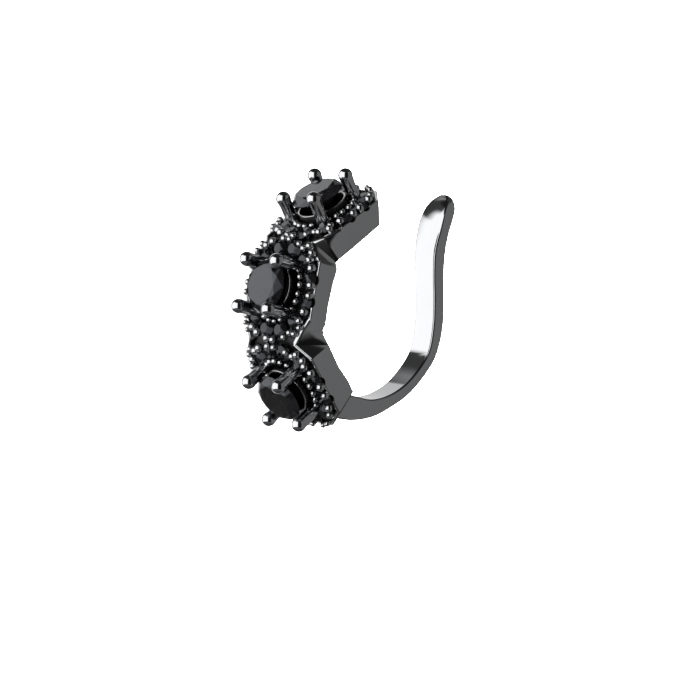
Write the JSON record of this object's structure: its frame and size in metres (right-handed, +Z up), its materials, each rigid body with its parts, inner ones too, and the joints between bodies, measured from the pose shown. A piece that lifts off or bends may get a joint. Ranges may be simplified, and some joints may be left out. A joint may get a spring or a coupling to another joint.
{
  "type": "ear cuff",
  "caption": "Clip-on ear cuff: three paved octagonal clusters, each with a round black stone held up in four ball-tipped prongs, and a flat springy hook band.",
  "frame": {"origin": "centre of the footprint of the cuff as it lies on its side, on the surface under it", "axes": "+Z up across the width of the cuff, +Y towards the free upper end as worn, -X towards the stones, +X towards the hook band"},
  "size_m": [0.0156, 0.0148, 0.006],
  "materials": {
    "gunmetal": "mirror polished gunmetal plate over brass",
    "black_stone": "polished, faceted black gem"
  },
  "bodies": {
    "root": {"cuff_frame": "gunmetal", "centre_stone_bottom": "black_stone", "centre_stone_middle": "black_stone", "centre_stone_top": "black_stone"}
  },
  "joints": []
}
